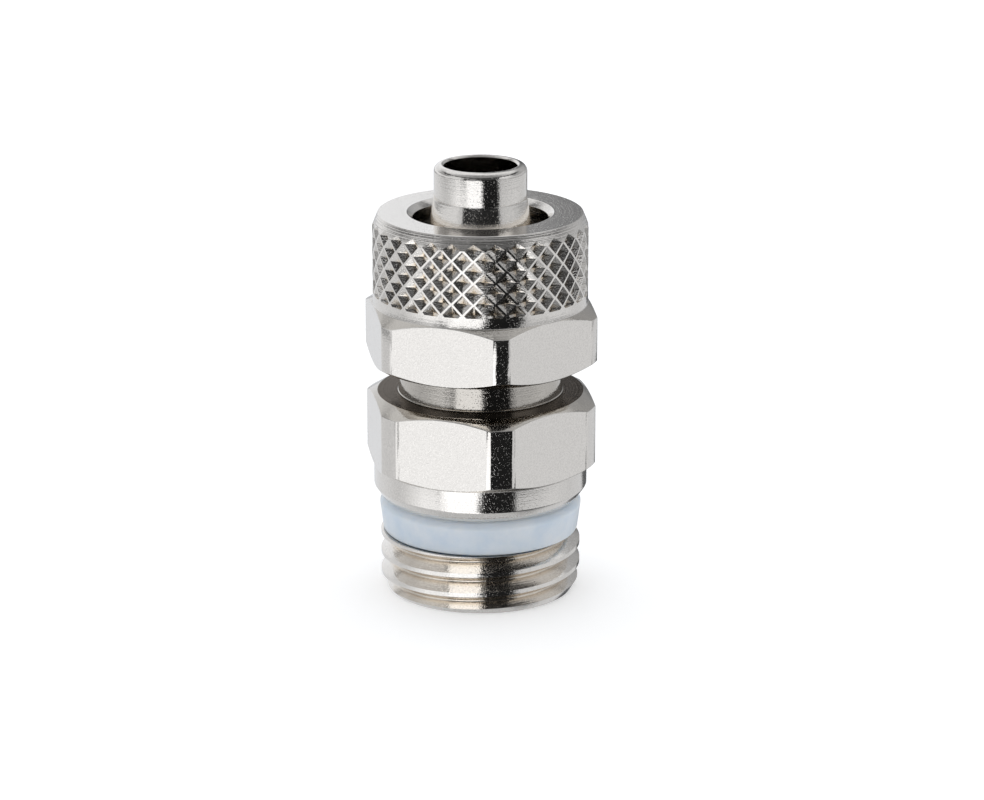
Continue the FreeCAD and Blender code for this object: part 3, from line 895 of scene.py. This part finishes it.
def make_world(stage):
    """White soft surroundings with dark areas in front, as metal sees them.

    Matt surfaces get a paler light, half of it plain white, and the camera sees white.
    """
    world = bpy.data.worlds.new("light tent")
    bpy.context.scene.world = world
    world.use_nodes = True
    world.cycles.sampling_method = "NONE"
    tree = world.node_tree
    tree.nodes.clear()
    away = stage.azimuth
    front = (math.sin(away), -math.cos(away), 0)
    right = (math.cos(away), math.sin(away), 0)
    direction = add(tree, "ShaderNodeTexCoord").outputs["Generated"]
    to_front = add(tree, "ShaderNodeVectorMath", {0: direction, 1: front},
                   operation="DOT_PRODUCT")
    to_right = add(tree, "ShaderNodeVectorMath", {0: direction, 1: right},
                   operation="DOT_PRODUCT")
    around = add(tree, "ShaderNodeMath", {
        0: to_right.outputs["Value"], 1: to_front.outputs["Value"]}, operation="ARCTAN2")
    rise = add(tree, "ShaderNodeSeparateXYZ", {0: direction}).outputs["Z"]
    lean = add(tree, "ShaderNodeMapRange", {
        "Value": rise, "From Min": CARD_FOOT, "From Max": CARD_HEAD, "To Min": CARD_LEAN,
        "To Max": -CARD_LEAN})
    leaned = add(tree, "ShaderNodeMath", {0: around.outputs[0], 1: lean.outputs[0]},
                 operation="ADD")
    walls = (UNDERSIDE, UNDERSIDE, UNDERSIDE, 1)
    for start, end, stops in BANDS:
        turn = leaned if stops is TABLE else around
        band = brightness_ramp(tree, turn, stops)
        walls = above_edge(tree, rise, start, end, walls, band)
    shown = add(tree, "ShaderNodeMix", {
        "Factor": 1.0, 6: walls, 7: linear(COOL_LIGHT)}, data_type="RGBA",
        blend_type="MULTIPLY").outputs[2]
    soft = add(tree, "ShaderNodeMix", {
        "Factor": 0.5, 6: (1, 1, 1, 1), 7: shown}, data_type="RGBA")
    path = add(tree, "ShaderNodeLightPath")
    mirrored = add(tree, "ShaderNodeBackground", {"Color": shown, "Strength": 1.0})
    shed = add(tree, "ShaderNodeBackground", {
        "Color": soft.outputs[2], "Strength": MATT_LIGHT})
    white = add(tree, "ShaderNodeBackground", {"Color": (1, 1, 1, 1), "Strength": 1.0})
    lit = add(tree, "ShaderNodeMixShader", {
        0: path.outputs["Is Glossy Ray"], 1: shed.outputs[0], 2: mirrored.outputs[0]})
    mixed = add(tree, "ShaderNodeMixShader", {
        0: path.outputs["Is Camera Ray"], 1: lit.outputs[0], 2: white.outputs[0]})
    add(tree, "ShaderNodeOutputWorld", {"Surface": mixed.outputs[0]})


def make_floor(settings):
    """The table top under the part."""
    bm = bmesh.new()
    bmesh.ops.create_grid(bm, x_segments=1, y_segments=1, size=settings.stage.floor_size / 2)
    floor = to_object(bm, "floor")
    floor.data.materials.append(table_top(settings))


def make_camera(stage):
    """The camera, which looks at the axis and down a little."""
    data = bpy.data.cameras.new("camera")
    data.lens = stage.lens
    data.shift_x = stage.shift
    data.clip_start = 0.01
    data.clip_end = 10
    camera = bpy.data.objects.new("camera", data)
    away = stage.azimuth
    camera.location = (
        stage.distance * math.sin(away), -stage.distance * math.cos(away), stage.height)
    camera.rotation_euler = (math.pi / 2 - stage.pitch, 0, away)
    bpy.context.scene.collection.objects.link(camera)
    bpy.context.scene.camera = camera


# Operators

class ConnectorOperator:
    """Common options of the operators."""

    bl_options = {"REGISTER", "UNDO"}


class CONNECTOR_OT_add_body(ConnectorOperator, bpy.types.Operator):
    """Add the turned body with its threads"""

    bl_idname = "connector.add_body"
    bl_label = "Turned Body"

    def execute(self, context):
        settings = context.scene.connector
        piece = build_body(settings)
        materials = metal_finishes(settings, "body", body_groove_shade(settings))
        areas = body_areas(settings)
        finish_piece(
            piece, materials, lambda face: metal_zone(face, areas), "connector_body", "body")
        return {"FINISHED"}


class CONNECTOR_OT_add_nut(ConnectorOperator, bpy.types.Operator):
    """Add the knurled clamp nut"""

    bl_idname = "connector.add_nut"
    bl_label = "Clamp Nut"

    def execute(self, context):
        settings = context.scene.connector
        piece = build_nut(settings)
        materials = metal_finishes(settings, "nut", nut_pit_shade(settings))
        areas = nut_areas(settings)
        finish_piece(
            piece, materials, lambda face: metal_zone(face, areas), "clamp_nut", "nut")
        return {"FINISHED"}


class CONNECTOR_OT_add_ring(ConnectorOperator, bpy.types.Operator):
    """Add the soft sealing ring"""

    bl_idname = "connector.add_ring"
    bl_label = "Sealing Ring"

    def execute(self, context):
        settings = context.scene.connector
        piece = build_ring(settings)
        milky = milky_fluoropolymer(settings)
        finish_piece(piece, [milky], lambda face: 0, "sealing_ring", "body")
        return {"FINISHED"}


class CONNECTOR_OT_add_stage(ConnectorOperator, bpy.types.Operator):
    """Add the table top, the surroundings and the camera"""

    bl_idname = "connector.add_stage"
    bl_label = "Stage"

    def execute(self, context):
        settings = context.scene.connector
        make_world(settings.stage)
        make_floor(settings)
        make_camera(settings.stage)
        context.scene.view_settings.view_transform = "Standard"
        return {"FINISHED"}


class CONNECTOR_PT_panel(bpy.types.Panel):
    """Lists the operators of the connector"""

    bl_idname = "CONNECTOR_PT_panel"
    bl_label = "Tube Connector"
    bl_space_type = "VIEW_3D"
    bl_region_type = "UI"
    bl_category = "Connector"

    def draw(self, context):
        for operator in OPERATORS:
            self.layout.operator(operator.bl_idname)


OPERATORS = (
    CONNECTOR_OT_add_body, CONNECTOR_OT_add_nut, CONNECTOR_OT_add_ring, CONNECTOR_OT_add_stage)


class ConnectorSettings(bpy.types.PropertyGroup):
    """All the settings of the connector."""

    body: PointerProperty(type=ConnectorBodySizes, name="Body")
    pipe_thread: PointerProperty(type=PipeThreadSizes, name="Pipe thread")
    fine_thread: PointerProperty(type=FineThreadSizes, name="Fine thread")
    nut: PointerProperty(type=ClampNutSizes, name="Nut")
    knurl: PointerProperty(type=KnurlSizes, name="Knurl")
    ring: PointerProperty(type=SealingRingSizes, name="Ring")
    finish: PointerProperty(type=ConnectorFinish, name="Finish")
    stage: PointerProperty(type=ConnectorStage, name="Stage")


CLASSES = (
    ConnectorBodySizes, PipeThreadSizes, FineThreadSizes, ClampNutSizes, KnurlSizes,
    SealingRingSizes, ConnectorFinish, ConnectorStage, ConnectorSettings, *OPERATORS,
    CONNECTOR_PT_panel)


def register():
    """Registers the classes and gives the scene its settings."""
    for item in CLASSES:
        bpy.utils.register_class(item)
    bpy.types.Scene.connector = PointerProperty(type=ConnectorSettings)


def unregister():
    """Takes the settings and the classes away again."""
    del bpy.types.Scene.connector
    for item in reversed(CLASSES):
        bpy.utils.unregister_class(item)


def main():
    """Builds the pieces and the stage."""
    register()
    bpy.ops.connector.add_body()
    bpy.ops.connector.add_nut()
    bpy.ops.connector.add_ring()
    bpy.ops.connector.add_stage()


if __name__ == "__main__":
    main()
